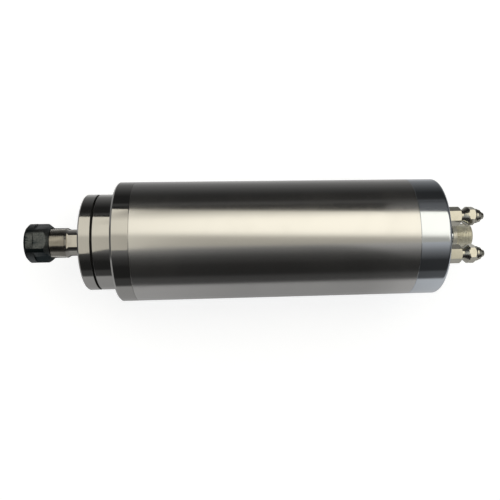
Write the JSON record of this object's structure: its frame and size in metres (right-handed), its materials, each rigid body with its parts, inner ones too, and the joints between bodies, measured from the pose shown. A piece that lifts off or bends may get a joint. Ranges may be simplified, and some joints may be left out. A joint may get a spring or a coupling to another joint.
{
  "type": "motor spindle",
  "caption": "Round water-cooled motor spindle with a stepped nose, a collet nut on a threaded shaft, and water and power connections on its rear end.",
  "frame": {"origin": "on the spindle axis, at the middle of the body tube that a round clamp holds", "axes": "+X along the axis from the collet nose to the rear cover; +Z from the axis towards the side on which the two water fittings stand"},
  "size_m": [0.3836, 0.1, 0.1],
  "materials": {
    "aluminium_inner": "machined",
    "aluminium_turned": "fine turned, bright",
    "bearing_steel": "ground",
    "black_oxide": "black oxide",
    "black_screws": "black oxide",
    "cage_resin": "fabric-filled phenolic",
    "collet_steel": "ground spring steel",
    "connector_nickel": "matt nickel plated brass",
    "contact_gold": "gold plated",
    "copper": "enamelled copper",
    "insulator": "moulded thermoset",
    "lamination": "stacked electrical steel",
    "lead_insulation": "silicone insulation",
    "nickel": "nickel plated brass",
    "seal_rubber": "nitrile rubber",
    "shaft_steel": "ground alloy steel",
    "stainless": "polished stainless steel",
    "steel_inner": "machined",
    "zinc_screws": "zinc plated"
  },
  "bodies": {
    "housing": {"body_tube": "stainless", "connector_contacts": "contact_gold", "connector_gasket": "seal_rubber", "connector_insert": "insulator", "connector_shell": "connector_nickel", "connector_sleeve": "aluminium_turned", "connector_sleeve_screws": "zinc_screws", "fitting_washers": "copper", "front_bearing_1_outer_ring": "bearing_steel", "front_bearing_2_outer_ring": "bearing_steel", "front_bearing_housing": "stainless", "front_cap_screws": "black_screws", "front_end_cap": "stainless", "front_flange_screws": "black_screws", "front_outer_spacer": "bearing_steel", "housing_seals": "seal_rubber", "jacket_seals": "seal_rubber", "lead_wires": "lead_insulation", "port_seals": "seal_rubber", "preload_spring": "bearing_steel", "rear_bearing_1_outer_ring": "bearing_steel", "rear_bearing_2_outer_ring": "bearing_steel", "rear_bearing_housing": "steel_inner", "rear_cover": "aluminium_turned", "rear_cover_screws": "black_screws", "rear_housing_screws": "black_screws", "stator_core": "lamination", "stator_winding": "copper", "water_inlet_body": "nickel", "water_jacket": "aluminium_inner", "water_outlet_body": "nickel"},
    "rotor": {"spindle_shaft": "shaft_steel", "rotor_core": "lamination", "rotor_end_rings": "aluminium_inner", "front_lock_nut": "shaft_steel", "rear_lock_nut": "shaft_steel", "front_inner_spacer": "bearing_steel", "front_bearing_1_inner_ring": "bearing_steel", "front_bearing_2_inner_ring": "bearing_steel", "rear_bearing_1_inner_ring": "bearing_steel", "rear_bearing_2_inner_ring": "bearing_steel"},
    "front_cage_1": {"front_bearing_1_cage": "cage_resin", "front_bearing_1_balls": "bearing_steel"},
    "front_cage_2": {"front_bearing_2_cage": "cage_resin", "front_bearing_2_balls": "bearing_steel"},
    "rear_cage_1": {"rear_bearing_1_cage": "cage_resin", "rear_bearing_1_balls": "bearing_steel"},
    "rear_cage_2": {"rear_bearing_2_cage": "cage_resin", "rear_bearing_2_balls": "bearing_steel"},
    "collet": {"collet": "collet_steel"},
    "collet_nut": {"collet_nut": "black_oxide"},
    "inlet_nut": {"water_inlet_nut": "nickel"},
    "outlet_nut": {"water_outlet_nut": "nickel"}
  },
  "joints": [
    {"name": "shaft_spin", "type": "hinge", "parent": "housing", "child": "rotor", "pos_m": [0, 0, 0], "axis": [1, 0, 0], "continuous": true},
    {"name": "front_cage_1_roll", "type": "hinge", "parent": "housing", "child": "front_cage_1", "pos_m": [-0.1335, 0, 0], "axis": [1, 0, 0], "continuous": true},
    {"name": "front_cage_2_roll", "type": "hinge", "parent": "housing", "child": "front_cage_2", "pos_m": [-0.1135, 0, 0], "axis": [1, 0, 0], "continuous": true},
    {"name": "rear_cage_1_roll", "type": "hinge", "parent": "housing", "child": "rear_cage_1", "pos_m": [0.0995, 0, 0], "axis": [1, 0, 0], "continuous": true},
    {"name": "rear_cage_2_roll", "type": "hinge", "parent": "housing", "child": "rear_cage_2", "pos_m": [0.1095, 0, 0], "axis": [1, 0, 0], "continuous": true},
    {"name": "collet_slide", "type": "slide", "parent": "rotor", "child": "collet", "axis": [-1, 0, 0], "range_m": [0, 0.0106]},
    {"name": "collet_nut_turn", "type": "hinge", "parent": "collet", "child": "collet_nut", "pos_m": [-0.195, 0, 0], "axis": [-1, 0, 0], "range_deg": [0, 2520]},
    {"name": "inlet_nut_turn", "type": "hinge", "parent": "housing", "child": "inlet_nut", "pos_m": [0.168, 0.016, 0.02], "axis": [1, 0, 0], "range_deg": [0, 720]},
    {"name": "outlet_nut_turn", "type": "hinge", "parent": "housing", "child": "outlet_nut", "pos_m": [0.168, -0.016, 0.02], "axis": [1, 0, 0], "range_deg": [0, 720]}
  ],
  "couplings": [
    {"joint": "front_cage_1_roll", "follows": "shaft_spin", "ratio": 0.4115},
    {"joint": "front_cage_2_roll", "follows": "shaft_spin", "ratio": 0.4115},
    {"joint": "rear_cage_1_roll", "follows": "shaft_spin", "ratio": 0.3997},
    {"joint": "rear_cage_2_roll", "follows": "shaft_spin", "ratio": 0.3997},
    {"joint": "collet_slide", "follows": "collet_nut_turn", "m_per_rad": 0.00023873}
  ]
}
